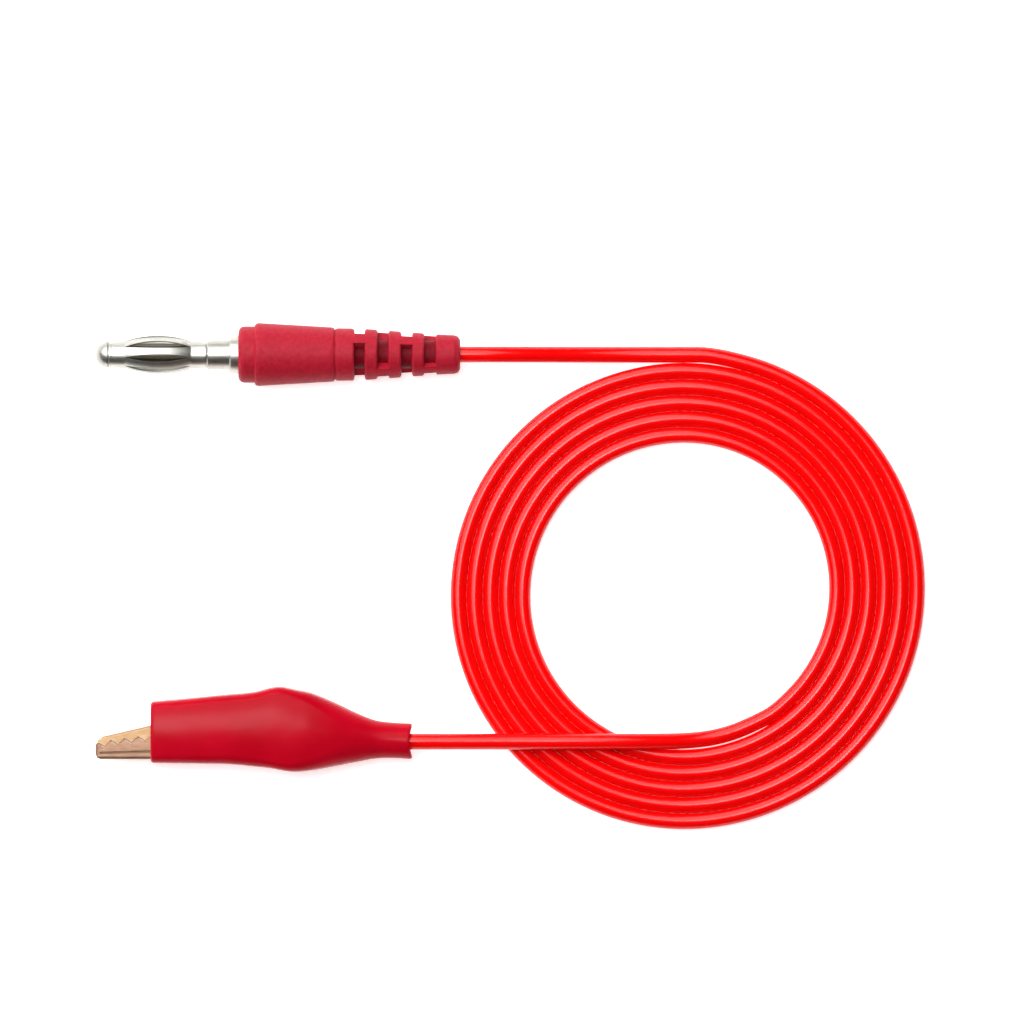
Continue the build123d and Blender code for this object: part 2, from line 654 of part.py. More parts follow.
with BuildPart() as plug_handle:
    handle_profile = [
        (HANDLE_X, SHANK_R),
        (HANDLE_X, 3.2),
        (HANDLE_X + 0.14, 3.55),
        (HANDLE_X + 0.42, 3.8),
        (HANDLE_X + 0.75, 3.87),
        (COLLAR_LIP_X, 3.87),
        (COLLAR_LIP_X + 0.06, 4.08),
        (COLLAR_LIP_X + 0.25, 4.27),
        (COLLAR_LIP_X + 0.6, HANDLE_R),
        (GRIP_END_X - 0.55, 3.75),
        (GRIP_END_X - 0.2, 3.68),
        (GRIP_END_X - 0.05, 3.45),
        (GRIP_END_X + 0.05, 3.45),
        (GRIP_END_X + 0.15, 3.56),
        *RELIEF,
        (HANDLE_END_X - 0.35, 2.5),
        (HANDLE_END_X - 0.1, 2.2),
        (HANDLE_END_X, 1.9),
        (HANDLE_END_X, CORD_R),
        (NECK_END_X, CORD_R),
        (NECK_END_X, NECK_R),
        (MOULD_X1, NECK_R),
        (MOULD_X1, MOULD_R),
        (MOULD_X0, MOULD_R),
        (MOULD_X0, SHANK_R),
    ]
    revolve(turned_profile(handle_profile), axis=PLUG_AXIS)
    for i, (x0, x1) in enumerate(GAPS):
        for half_turn in (0, 180):
            start = GAP_MIDDLES[i % 2] + half_turn - GAP_ARC / 2
            opening = turned_profile(gap_section(x0, x1), start)
            revolve(opening, axis=PLUG_AXIS, revolution_arc=GAP_ARC, mode=Mode.SUBTRACT)
plug_handle.part.label = "plug_handle"
export_step(plug_handle.part, "parts/plug_handle.step")

# ---------------------------------------------------------------- cord inside the plug
with BuildPart() as cord_plug_stub:
    with BuildSketch(cross_plane(JACKET_END_X, PLUG_Y, PLUG_Z)):
        Circle(CORD_R)
    extrude(amount=HANDLE_END_X - JACKET_END_X)
cord_plug_stub.part.label = "cord_plug_stub"
export_step(cord_plug_stub.part, "parts/cord_plug_stub.step")

BARED_END_X = 5.0
with BuildPart() as plug_conductor:
    with BuildSketch(cross_plane(BARED_END_X, PLUG_Y, PLUG_Z)):
        Circle(CONDUCTOR_R)
    extrude(amount=JACKET_END_X - BARED_END_X)
plug_conductor.part.label = "plug_conductor"
export_step(plug_conductor.part, "parts/plug_conductor.step")

with BuildPart() as plug_solder:
    solder_profile = [
        (CUP_FLOOR_X, 0),
        (CUP_FLOOR_X, CUP_BORE_R),
        (CUP_END_X, CUP_BORE_R),
        (CUP_END_X, CONDUCTOR_R),
        (BARED_END_X, CONDUCTOR_R),
        (BARED_END_X, 0),
    ]
    revolve(turned_profile(solder_profile), axis=PLUG_AXIS)
plug_solder.part.label = "plug_solder"
export_step(plug_solder.part, "parts/plug_solder.step")

# ---------------------------------------------------------------- free cord
# From the plug the cord comes down to the table and runs straight into the coil's outer turn.
plug_route = [
    (HANDLE_END_X, PLUG_Y, PLUG_Z),
    (35.0, PLUG_Y, PLUG_Z - 0.05),
    (46.9, PLUG_Y, CORD_R),
    (COIL_X, PLUG_Y, CORD_R),
]
# From the inner turn it climbs over the five strands on the left and goes into the boot.
INNER_R = COIL_R - COIL_TURNS * COIL_PITCH
CROSSING_Z = 3.65


def on_inner_turn(angle, z):
    """A point of the innermost turn, at an angle in degrees below +X."""
    return (COIL_X + INNER_R * cos(radians(angle)), RIGHT_Y - INNER_R * sin(radians(angle)), z)


clip_route = [
    on_inner_turn(LIFT_ANGLE, CORD_R),
    on_inner_turn(73, CORD_R),
    on_inner_turn(86, 1.3),
    (53.6, CORD_CLIP_Y, 3.1),
    (46.9, CORD_CLIP_Y, CROSSING_Z),
    (34.2, CORD_CLIP_Y, CROSSING_Z),
    (TAIL_X, CORD_CLIP_Y, CLIP_Z),
]

with BuildPart() as cord_plug_lead:
    with BuildLine() as plug_path:
        FilletPolyline(*plug_route, radius=corner_radii(plug_route))
    with BuildSketch(Plane(origin=plug_route[0], z_dir=Vector(*plug_route[1]) - Vector(*plug_route[0]))):
        Circle(CORD_R)
    sweep()
cord_plug_lead.part.label = "cord_plug_lead"
export_step(cord_plug_lead.part, "parts/cord_plug_lead.step")

with BuildPart() as cord_clip_lead:
    with BuildLine() as clip_path:
        FilletPolyline(*clip_route, radius=corner_radii(clip_route))
    with BuildSketch(Plane(origin=clip_route[0], z_dir=Vector(*clip_route[1]) - Vector(*clip_route[0]))):
        Circle(CORD_R)
    sweep()
cord_clip_lead.part.label = "cord_clip_lead"
export_step(cord_clip_lead.part, "parts/cord_clip_lead.step")

# ---------------------------------------------------------------- coil
# The strands lie flat and touching: six across the right, five where the inner one has left.


def strand_band(centre_y, outer_r, strands, angle):
    """Section of a flat band of strands, on a plane at an angle in degrees through the centre."""
    across = (cos(radians(angle)), sin(radians(angle)), 0)
    along = (sin(radians(angle)), -cos(radians(angle)), 0)
    with BuildSketch(Plane(origin=(COIL_X, centre_y, CORD_R), x_dir=across, z_dir=along)) as band:
        with Locations((outer_r - (strands - 1) * COIL_PITCH / 2, 0)):
            SlotCenterToCenter((strands - 1) * COIL_PITCH, CORD_D)
    return band.sketch


right_axis = Axis((COIL_X, RIGHT_Y, 0), (0, 0, -1))
left_axis = Axis((COIL_X, LEFT_Y, 0), (0, 0, -1))
with BuildPart() as cord_coil:
    six_strands = strand_band(RIGHT_Y, COIL_R, COIL_TURNS + 1, 90)
    revolve(six_strands, axis=right_axis, revolution_arc=90 + LIFT_ANGLE)
    five_strands = strand_band(RIGHT_Y, COIL_R, COIL_TURNS, -LIFT_ANGLE)
    revolve(five_strands, axis=right_axis, revolution_arc=90 - LIFT_ANGLE)
    left_strands = strand_band(LEFT_Y, COIL_R - COIL_PITCH / 2, COIL_TURNS, -90)
    revolve(left_strands, axis=left_axis, revolution_arc=180)
cord_coil.part.label = "cord_coil"
export_step(cord_coil.part, "parts/cord_coil.step")

# ---------------------------------------------------------------- what the cord measures
coil_length = 0
for turn in range(COIL_TURNS + 1):
    coil_length += pi * (COIL_R - turn * COIL_PITCH)
for turn in range(COIL_TURNS):
    coil_length += pi * (COIL_R - COIL_PITCH / 2 - turn * COIL_PITCH)
coil_length -= INNER_R * radians(90 - LIFT_ANGLE)
for name, part, path, route in (
    ("cord_plug_lead", cord_plug_lead, plug_path, plug_route),
    ("cord_clip_lead", cord_clip_lead, clip_path, clip_route),
):
    path_length = sum(edge.length for edge in path.edges())
    report_tube(name, part.part, path_length)
    print("  radii", [round(radius, 1) for radius in corner_radii(route)])
    coil_length += path_length
print(f"whole free cord {coil_length:.1f}")
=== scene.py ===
"""The looks of the alligator clip lead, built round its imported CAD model. Metres."""

from math import cos, pi, radians, sin

import bmesh
import bpy
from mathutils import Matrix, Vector


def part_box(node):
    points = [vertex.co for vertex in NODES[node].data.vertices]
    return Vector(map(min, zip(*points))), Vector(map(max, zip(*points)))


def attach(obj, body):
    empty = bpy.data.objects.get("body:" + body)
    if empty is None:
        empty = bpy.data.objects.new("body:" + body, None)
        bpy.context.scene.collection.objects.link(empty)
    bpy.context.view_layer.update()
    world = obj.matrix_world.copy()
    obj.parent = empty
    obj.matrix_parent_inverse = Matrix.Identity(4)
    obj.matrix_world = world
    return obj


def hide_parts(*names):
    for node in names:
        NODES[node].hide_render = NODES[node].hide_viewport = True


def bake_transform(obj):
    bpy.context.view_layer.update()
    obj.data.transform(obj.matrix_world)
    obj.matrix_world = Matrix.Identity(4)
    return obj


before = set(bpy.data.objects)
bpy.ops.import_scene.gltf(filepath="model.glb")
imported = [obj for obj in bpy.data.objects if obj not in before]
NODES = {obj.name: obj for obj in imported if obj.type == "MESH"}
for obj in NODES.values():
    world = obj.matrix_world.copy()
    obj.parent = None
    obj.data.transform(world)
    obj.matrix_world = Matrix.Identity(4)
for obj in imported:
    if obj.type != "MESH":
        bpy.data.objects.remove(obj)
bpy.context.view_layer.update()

MM = 0.001
ROOT = "root"

# The axes and ends that the shapes below are built on.
CLIP_Z = 4.0 * MM
CORD_R = 1.1 * MM
CORD_CLIP_Y = -1.7 * MM
TAIL_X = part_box("clip_boot")[1].x
PLUG_Y = 51.4 * MM
PLUG_Z = 4.35 * MM
HANDLE_END_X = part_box("plug_handle")[1].x


# ---------------------------------------------------------------- camera, light and floor
VIEW_X = 35.4 * MM
VIEW_Y = 29.8 * MM
VIEW_H = 1.955
LENS = 500
SENSOR = 36
NEAREST = 0.01
FARTHEST = 10

# Name, direction from the lead, side in metres and power in watts of each softbox.
SOFTBOXES = (
    ("softbox_key", (-0.5, 0.66, 1.0), 1.3, 17.5),
    ("softbox_top", (-0.11, 0.11, 1.0), 0.28, 2.9),
)
LIGHT_DISTANCE = 1.0

WHITE = (1, 1, 1, 1)
ROOM_HORIZON = 0.8  # strength of the room's light at the horizon
ROOM_ABOVE = 0.03  # its strength from the top of the bright band upwards
BRIGHT_BAND = 0.22  # height of that band, as the sine of its elevation

FLOOR_SIZE = 6
FLOOR_GREY = 0.93
FLOOR_ROUGHNESS = 0.9
FLOOR_GLOW = 0.66


def make_camera():
    """Straight down on the table through a long lens, +Y up in the picture."""
    data = bpy.data.cameras.new("camera")
    data.lens = LENS
    data.sensor_width = SENSOR
    data.clip_start = NEAREST
    data.clip_end = FARTHEST
    camera = bpy.data.objects.new("camera", data)
    camera.location = (VIEW_X, VIEW_Y, VIEW_H)
    bpy.context.scene.collection.objects.link(camera)
    bpy.context.scene.camera = camera


def softbox(name, direction, size, power):
    """A square softbox that faces the middle of the lead from a direction."""
    data = bpy.data.lights.new(name, "AREA")
    data.shape = "SQUARE"
    data.size = size
    data.energy = power
    light = bpy.data.objects.new(name, data)
    away = Vector(direction).normalized()
    light.location = Vector((VIEW_X, VIEW_Y, 0)) + LIGHT_DISTANCE * away
    light.rotation_euler = away.to_track_quat("Z", "Y").to_euler()
    light.visible_camera = False
    bpy.context.scene.collection.objects.link(light)


def make_light():
    """Soft studio light: the softboxes, and a white room that is bright at the horizon and dim above."""
    world = bpy.data.worlds.new("world")
    world.use_nodes = True
    tree = world.node_tree
    coordinates = tree.nodes.new("ShaderNodeTexCoord")
    split = tree.nodes.new("ShaderNodeSeparateXYZ")
    level = tree.nodes.new("ShaderNodeMapRange")
    tree.links.new(coordinates.outputs["Generated"], split.inputs["Vector"])
    tree.links.new(split.outputs["Z"], level.inputs["Value"])
    level.inputs["From Min"].default_value = 0.0
    level.inputs["From Max"].default_value = BRIGHT_BAND
    level.inputs["To Min"].default_value = ROOM_HORIZON
    level.inputs["To Max"].default_value = ROOM_ABOVE
    tree.links.new(level.outputs["Result"], tree.nodes["Background"].inputs["Strength"])
    tree.nodes["Background"].inputs["Color"].default_value = WHITE
    bpy.context.scene.world = world
    for box in SOFTBOXES:
        softbox(*box)
    bpy.context.scene.view_settings.view_transform = "Standard"


def make_floor():
    """A plain white table top that glows evenly, like a light table."""
    bpy.ops.mesh.primitive_plane_add(size=FLOOR_SIZE, location=(VIEW_X, VIEW_Y, 0))
    floor = bpy.context.object
    floor.name = "floor"
    material = bpy.data.materials.new("floor_white")
    material.use_nodes = True
    shader = material.node_tree.nodes["Principled BSDF"]
    shader.inputs["Base Color"].default_value = (FLOOR_GREY, FLOOR_GREY, FLOOR_GREY, 1)
    shader.inputs["Roughness"].default_value = FLOOR_ROUGHNESS
    shader.inputs["Emission Color"].default_value = WHITE
    shader.inputs["Emission Strength"].default_value = FLOOR_GLOW
    floor.data.materials.append(material)


# ---------------------------------------------------------------- material helpers
# Places of the colour sockets on a Mix node.
MIX_FACTOR = 0
MIX_A = 6
MIX_B = 7
MIX_RESULT = 2

# Where the Pointiness of an inside corner starts and is full, and that of an outside edge.
HOLLOW_FROM, HOLLOW_FULL = 0.48, 0.40
WORN_FROM, WORN_FULL = 0.53, 0.62
FADE = 0.4 * MM  # how softly a stretch of another colour ends


class Finish:
    """A procedural material under construction: its tree, its shader and shared coordinates."""

    def __init__(self, name, metallic=0.0):
        self.material = bpy.data.materials.new(name)
        self.material.use_nodes = True
        self.tree = self.material.node_tree
        self.shader = self.tree.nodes["Principled BSDF"]
        self.set("Metallic", metallic)
        self.coordinates = self.tree.nodes.new("ShaderNodeTexCoord")

    def set(self, socket, value):
        """A fixed value on one of the shader's sockets."""
        self.shader.inputs[socket].default_value = value

    def link(self, output, target):
        """A link from a node's output to another node's input."""
        self.tree.links.new(output, target)

    def noise(self, scale, detail=3.0, stretch=(1, 1, 1), roughness=0.5):
        """Noise over the part, in features per metre."""
        mapping = self.tree.nodes.new("ShaderNodeMapping")
        mapping.inputs["Scale"].default_value = stretch
        self.link(self.coordinates.outputs["Object"], mapping.inputs["Vector"])
        noise = self.tree.nodes.new("ShaderNodeTexNoise")
        noise.inputs["Scale"].default_value = scale
        noise.inputs["Detail"].default_value = detail
        noise.inputs["Roughness"].default_value = roughness
        self.link(mapping.outputs["Vector"], noise.inputs["Vector"])
        return noise.outputs["Fac"]

    def ramp(self, value, stops):
        """A colour ramp of (position, colour) stops."""
        ramp = self.tree.nodes.new("ShaderNodeValToRGB")
        ramp.color_ramp.elements[0].position = stops[0][0]
        ramp.color_ramp.elements[0].color = (*stops[0][1], 1)
        ramp.color_ramp.elements[1].position = stops[-1][0]
        ramp.color_ramp.elements[1].color = (*stops[-1][1], 1)
        for position, colour in stops[1:-1]:
            ramp.color_ramp.elements.new(position).color = (*colour, 1)
        self.link(value, ramp.inputs["Fac"])
        return ramp.outputs["Color"]

    def span(self, value, low, high):
        """value from 0..1 to low..high."""
        span = self.tree.nodes.new("ShaderNodeMapRange")
        span.inputs["To Min"].default_value = low
        span.inputs["To Max"].default_value = high
        self.link(value, span.inputs["Value"])
        return span.outputs["Result"]

    def bump(self, height, distance, strength):
        """A bump of the height value."""
        bump = self.tree.nodes.new("ShaderNodeBump")
        bump.inputs["Strength"].default_value = strength
        bump.inputs["Distance"].default_value = distance
        self.link(height, bump.inputs["Height"])
        self.link(bump.outputs["Normal"], self.shader.inputs["Normal"])

    def mix(self, factor, one, two):
        """Colour one where factor is 0, colour two where it is 1."""
        mix = self.tree.nodes.new("ShaderNodeMix")
        mix.data_type = "RGBA"
        self.link(factor, mix.inputs[MIX_FACTOR])
        self.link(one, mix.inputs[MIX_A])
        mix.inputs[MIX_B].default_value = (*two, 1)
        return mix.outputs[MIX_RESULT]

    def between(self, x0, x1):
        """1 between two places along the part's own X axis, 0 outside them."""
        split = self.tree.nodes.new("ShaderNodeSeparateXYZ")
        self.link(self.coordinates.outputs["Object"], split.inputs["Vector"])
        offset = self.tree.nodes.new("ShaderNodeMath")
        offset.operation = "SUBTRACT"
        self.link(split.outputs["X"], offset.inputs[0])
        offset.inputs[1].default_value = (x0 + x1) / 2
        distance = self.tree.nodes.new("ShaderNodeMath")
        distance.operation = "ABSOLUTE"
        self.link(offset.outputs["Value"], distance.inputs[0])
        inside = self.tree.nodes.new("ShaderNodeMapRange")
        inside.inputs["From Min"].default_value = (x1 - x0) / 2
        inside.inputs["From Max"].default_value = (x1 - x0) / 2 - FADE
        self.link(distance.outputs["Value"], inside.inputs["Value"])
        return inside.outputs["Result"]

    def edges(self, colour, hollow, worn):
        """The colour, changed to hollow in inside corners and to worn on outside edges."""
        pointiness = self.tree.nodes.new("ShaderNodeNewGeometry").outputs["Pointiness"]
        inside = self.ramp(pointiness, [(HOLLOW_FULL, (1, 1, 1)), (HOLLOW_FROM, (0, 0, 0))])
        outside = self.ramp(pointiness, [(WORN_FROM, (0, 0, 0)), (WORN_FULL, (1, 1, 1))])
        return self.mix(outside, self.mix(inside, colour, hollow), worn)


# Base colours: the darkest and the lightest that each material's noise runs between.
BOOT_RED = ((0.45, 0.0014, 0.011), (0.52, 0.0026, 0.016))
CORD_RED = ((0.95, 0.0008, 0.0012), (1.0, 0.0012, 0.0018))
HANDLE_RED = ((0.365, 0.006, 0.018), (0.465, 0.011, 0.033))
WARM_COPPER = ((0.39, 0.245, 0.133), (0.47, 0.3, 0.168))
PINK_COPPER = ((0.315, 0.185, 0.123), (0.385, 0.23, 0.156))
NICKEL = ((0.42, 0.415, 0.37), (0.53, 0.525, 0.475))
STEEL = ((0.50, 0.49, 0.47), (0.62, 0.61, 0.58))
BARE_COPPER = ((0.70, 0.36, 0.22), (0.85, 0.46, 0.30))
SOLDER = ((0.55, 0.55, 0.55), (0.68, 0.68, 0.68))
PAINTED_CAGE_SHADE = (0.13, 0.115, 0.09)  # painted shade: the dark of the pin's stud inside the contact cage, which is plated like the rest of the pin
HOLLOW_SHADE = 0.5  # tarnish in a plated part's inside corners, against its darkest plating
WORN_SHADE = 1.15  # its outside edges, against its lightest plating


def boot_pvc():
    """Soft glossy PVC, dip-moulded: deep red with slow colour change and faint smears."""
    finish = Finish("boot_pvc")
    tone = finish.noise(170, 3)
    colour = finish.ramp(tone, [(0.3, BOOT_RED[0]), (0.7, BOOT_RED[1])])
    finish.link(colour, finish.shader.inputs["Base Color"])
    smears = finish.noise(420, 4, (0.3, 1, 1))
    finish.link(finish.span(smears, 0.18, 0.28), finish.shader.inputs["Roughness"])
    finish.bump(finish.noise(900, 3, (0.35, 1, 1)), 0.02 * MM, 0.5)
    finish.set("Specular IOR Level", 0.07)
    finish.set("Subsurface Weight", 0.05)
    finish.set("Subsurface Radius", (1.0, 0.1, 0.06))
    finish.set("Subsurface Scale", 0.5 * MM)
    return finish.material


def cord_jacket():
    """Extruded cord jacket: bright red, satin, with faint marks along its length."""
    finish = Finish("cord_jacket")
    tone = finish.noise(240, 3)
    colour = finish.ramp(tone, [(0.3, CORD_RED[0]), (0.7, CORD_RED[1])])
    finish.link(colour, finish.shader.inputs["Base Color"])
    finish.link(finish.span(finish.noise(1300, 3), 0.16, 0.23), finish.shader.inputs["Roughness"])
    finish.bump(finish.noise(1500, 2), 0.006 * MM, 0.3)
    finish.set("Specular IOR Level", 0.36)
    return finish.material


def handle_pvc(name="handle_pvc", painted_shade=1.0, shine=0.18):
    """Matte moulded PVC with a fine spark-eroded grain. A shade factor below 1 darkens its colour as
    painted shade.
    """
    finish = Finish(name)
    tone = finish.noise(1500, 5, roughness=0.65)
    # painted shade: the colour is scaled darker by the shade factor
    low, high = (tuple(painted_shade * channel for channel in red) for red in HANDLE_RED)
    finish.link(finish.ramp(tone, [(0.35, low), (0.65, high)]), finish.shader.inputs["Base Color"])
    finish.link(finish.span(finish.noise(5000, 2), 0.45, 0.6), finish.shader.inputs["Roughness"])
    finish.bump(finish.noise(3600, 3), 0.035 * MM, 0.55)
    finish.set("Specular IOR Level", shine)
    return finish.material


def plated_metal(name, low, high, roughness, marks=(1, 1, 1), grain=1800, depth=0.01, painted_shade_span=None):
    """Plated metal with drawn or turned marks, a little tarnish in the hollows and bright edges; over an
    optional stretch along X, painted shade darkens it.
    """
    finish = Finish(name, metallic=1.0)
    tarnish = finish.noise(600, 5, roughness=0.6)
    colour = finish.ramp(tarnish, [(0.3, low), (0.7, high)])
    hollow = tuple(HOLLOW_SHADE * channel for channel in low)
    worn = tuple(min(1.0, WORN_SHADE * channel) for channel in high)
    colour = finish.edges(colour, hollow, worn)
    # painted shade: an optional stretch along X takes the dark colour of the cage's shade
    if painted_shade_span:
        colour = finish.mix(finish.between(*painted_shade_span), colour, PAINTED_CAGE_SHADE)
    finish.link(colour, finish.shader.inputs["Base Color"])
    lines = finish.noise(grain, 3, marks)
    finish.link(finish.span(lines, 0.75 * roughness, 1.3 * roughness), finish.shader.inputs["Roughness"])
    finish.bump(lines, depth * MM, 0.4)
    return finish.material


def paint(node_name, material):
    """Give a CAD node's object one material."""
    slots = NODES[node_name].data.materials
    slots.clear()
    slots.append(material)


# ---------------------------------------------------------------- cord
COIL_X = 59.0 * MM
PITCH = 2 * CORD_R
TURNS = 5
COIL_R = (PLUG_Y - CORD_CLIP_Y + TURNS * PITCH) / 2
RIGHT_Y = PLUG_Y - COIL_R
LEFT_Y = RIGHT_Y - PITCH / 2
STEPS = 12  # control points in each half turn
CROSSING_Z = 3.65 * MM


def half_turn(centre_y, radius, top_angle, steps=STEPS):
    """Control points of a clockwise half turn from top_angle, in degrees; its curve has that radius."""
    step = 180 / STEPS
    outside = radius / cos(radians(step / 2))
    points = []
    for i in range(steps):
        angle = radians(top_angle - (i + 0.5) * step)
        points.append((COIL_X + outside * cos(angle), centre_y + outside * sin(angle), CORD_R))
    return points


def on_inner_turn(angle, z):
    """A point of the innermost turn, at an angle in degrees below +X."""
    radius = COIL_R - TURNS * PITCH
    return (COIL_X + radius * cos(radians(angle)), RIGHT_Y - radius * sin(radians(angle)), z)


def cord_points():
    """The whole route, from inside the plug's handle to inside the boot."""
    points = [
        (HANDLE_END_X - 2 * MM, PLUG_Y, PLUG_Z),
        (HANDLE_END_X, PLUG_Y, PLUG_Z),
        (35.0 * MM, PLUG_Y, PLUG_Z - 0.05 * MM),
        (46.9 * MM, PLUG_Y, CORD_R),
        (COIL_X, PLUG_Y, CORD_R),
    ]
    for turn in range(TURNS):
        points += half_turn(RIGHT_Y, COIL_R - turn * PITCH, 90)
        points += half_turn(LEFT_Y, COIL_R - PITCH / 2 - turn * PITCH, -90)
    points += half_turn(RIGHT_Y, COIL_R - TURNS * PITCH, 90, STEPS - 2)
    points += [
        on_inner_turn(60, CORD_R),
        on_inner_turn(73, CORD_R),
        on_inner_turn(86, 1.3 * MM),
        (53.6 * MM, CORD_CLIP_Y, 3.1 * MM),
        (46.9 * MM, CORD_CLIP_Y, CROSSING_Z),
        (34.2 * MM, CORD_CLIP_Y, CROSSING_Z),
        (TAIL_X, CORD_CLIP_Y, CLIP_Z),
        (TAIL_X - 2 * MM, CORD_CLIP_Y, CLIP_Z),
    ]
    return points


def make_cord(material):
    """The free cord as one smooth spline, starting where it leaves the clip."""
    points = cord_points()[::-1]
    data = bpy.data.curves.new("cord", "CURVE")
    data.dimensions = "3D"
    spline = data.splines.new("NURBS")
    spline.points.add(len(points) - 1)
    for point, place in zip(spline.points, points):
        point.co = (*place, 1)
    spline.order_u = 3
    spline.use_endpoint_u = True
    spline.resolution_u = 6
    spline.use_smooth = True
    data.bevel_depth = CORD_R
    data.bevel_resolution = 9
    data.use_fill_caps = True
    data.materials.append(material)
    cord = bpy.data.objects.new("cord", data)
    bpy.context.scene.collection.objects.link(cord)
    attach(cord, ROOT)
    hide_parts("cord_clip_lead", "cord_coil", "cord_plug_lead")
    return cord


# ---------------------------------------------------------------- mesh helpers
def closed_skin(name, rings, material):
    """A smooth mesh of rings of equal length, joined one to the next and the last to the first."""
    mesh = bmesh.new()
    layers = [[mesh.verts.new(place) for place in ring] for ring in rings]
    for one, two in zip(layers, layers[1:] + layers[:1]):
        for i in range(len(one)):
            j = (i + 1) % len(one)
            mesh.faces.new((one[i], one[j], two[j], two[i]))
    bmesh.ops.recalc_face_normals(mesh, faces=mesh.faces)
    for face in mesh.faces:
        face.smooth = True
    data = bpy.data.meshes.new(name)
    mesh.to_mesh(data)
    mesh.free()
    data.materials.append(material)
    made = bpy.data.objects.new(name, data)
    bpy.context.scene.collection.objects.link(made)
    return made


def smooth_value(stations, x, column):
    """A value at x, on a smooth curve (Catmull-Rom) through the stations' first and given columns."""
    last = len(stations) - 1
    for i in range(last):
        if x <= stations[i + 1][0] or i == last - 1:
            break
    x1, x2 = stations[i][0], stations[i + 1][0]
    y1, y2 = stations[i][column], stations[i + 1][column]

    def slope(k):
        low, high = max(k - 1, 0), min(k + 1, last)
        return (stations[high][column] - stations[low][column]) / (stations[high][0] - stations[low][0])

    t = min(max((x - x1) / (x2 - x1), 0), 1)
    run = x2 - x1
    a = (2 * t**3 - 3 * t**2 + 1) * y1 + (t**3 - 2 * t**2 + t) * run * slope(i)
    b = (-2 * t**3 + 3 * t**2) * y2 + (t**3 - t**2) * run * slope(i + 1)
    return a + b


# ---------------------------------------------------------------- boot
# Millimetres: x, lowest y, highest y, half height, corner size, roundness (0 box, 1 oval).
BOOT_OUTSIDE = [
    (-14.1, -4.66, 3.84, 3.80, 1.30, 0.0),
    (-11.0, -4.70, 4.12, 3.86, 1.35, 0.0),
    (-7.0, -4.74, 4.50, 3.92, 1.40, 0.0),
    (-3.5, -4.84, 4.84, 3.97, 1.50, 0.0),
    (0.0, -5.14, 5.18, 4.0, 1.45, 0.0),
    (2.4, -5.40, 5.76, 4.0, 1.25, 0.0),
    (3.7, -5.66, 5.90, 4.0, 1.20, 0.0),
    (5.6, -5.88, 5.54, 4.0, 1.35, 0.05),
    (8.0, -5.66, 5.00, 3.92, 1.7, 0.15),
    (11.0, -5.12, 3.76, 3.62, 2.0, 0.4),
    (14.0, -4.52, 2.32, 3.05, 2.0, 0.7),
    (16.6, -4.06, 1.30, 2.62, 2.0, 0.9),
    (19.0, -3.99, 0.95, 2.46, 2.0, 1.0),
    (21.7, -4.12, 0.82, 2.475, 2.0, 1.0),
]
BOOT_INSIDE = [
    (-14.1, -4.22, 3.24, 3.16, 0.75, 0.0),
    (-8.0, -4.26, 3.80, 3.26, 0.8, 0.0),
    (-2.0, -4.45, 4.35, 3.33, 0.9, 0.0),
    (3.6, -5.15, 5.28, 3.36, 1.0, 0.05),
    (7.8, -5.12, 4.40, 3.26, 1.2, 0.2),
    (12.3, -4.20, 2.40, 2.60, 1.4, 0.6),
    (15.5, -3.10, -0.30, 1.40, 1.3, 1.0),
    (16.5, -2.815, -0.585, 1.115, 1.1, 1.0),
    (21.7, -2.815, -0.585, 1.115, 1.1, 1.0),
]
STRETCH_STEPS = 6
SIDE_CROWN = 5  # degrees that a side turns from its middle to its corner
SHOULDER = 48  # degrees that the wide part of a corner turns
SHOULDER_REACH = 1.15  # length of that part, against the corner's size
BREAK = 21  # degrees that the tight part of a corner turns, beside the top
BREAK_REACH = 0.3
LEAST_FLAT = 0.05

# The two ends, in millimetres. A rim's edges are its rings' distances from the end.
RIM = 0.34  # how far the rounding of the boot's two ends reaches
MOUTH_EDGES = (0.0, 0.05, 0.13, 0.22, RIM)
MOUTH_TUCK = 0.24  # how far the mouth's rim is drawn in
MOUTH_CURVE = 2.2
TAIL_EDGES = (RIM, 0.2, 0.1, 0.04, 0.0)
TAIL_TUCK = 0.17
TAIL_FACE = ((-0.5, 0.02), (-0.9, 0.14), (-1.2, 0.3))  # size against the outside, and depth
TAIL_DISH = 0.36  # depth of the saddle in the tail's end edge
TAIL_DISH_LENGTH = 1.6
BORE_START = 0.75  # where the bore begins, in from the tail's end
MOUTH_FLARE = 0.12
OUTSIDE_STEPS = 110
INSIDE_STEPS = 60

# Shallow waves of the soft moulding: wave lengths along x, y and z in millimetres, phase, height.
WAVES = (
    (7.3, 12.0, 11.0, 0.4, 0.006),
    (4.1, -6.2, 6.0, 1.9, 0.003),
    (11.5, 5.1, -7.0, 4.2, 0.006),
    (2.6, 3.9, 4.0, 2.6, 0.0012),
)
WAVE_TOTAL = sum(wave[4] for wave in WAVES)


def box_quarter(half_y, half_z, corner):
    """A quarter of a box-like section, from the middle of its +Y side to the middle of its top.

    The side is slightly crowned. The corner turns slowly, then tightly where it meets the top,
    which is crowned too.
    """
    stretches = [
        (max(half_z - corner, LEAST_FLAT), SIDE_CROWN),
        (SHOULDER_REACH * corner, SHOULDER),
        (BREAK_REACH * corner, BREAK),
        (max(half_y - corner, LEAST_FLAT), 90 - SIDE_CROWN - SHOULDER - BREAK),
    ]
    places = [(0.0, 0.0)]
    heading = 90.0
    for length, turn in stretches:
        for _ in range(STRETCH_STEPS):
            heading += turn / STRETCH_STEPS / 2
            y, z = places[-1]
            step = length / STRETCH_STEPS
            places.append((y + step * cos(radians(heading)), z + step * sin(radians(heading))))
            heading += turn / STRETCH_STEPS / 2
    width, height = -places[-1][0], places[-1][1]
    return [(half_y * (1 + y / width), half_z * z / height) for y, z in places]


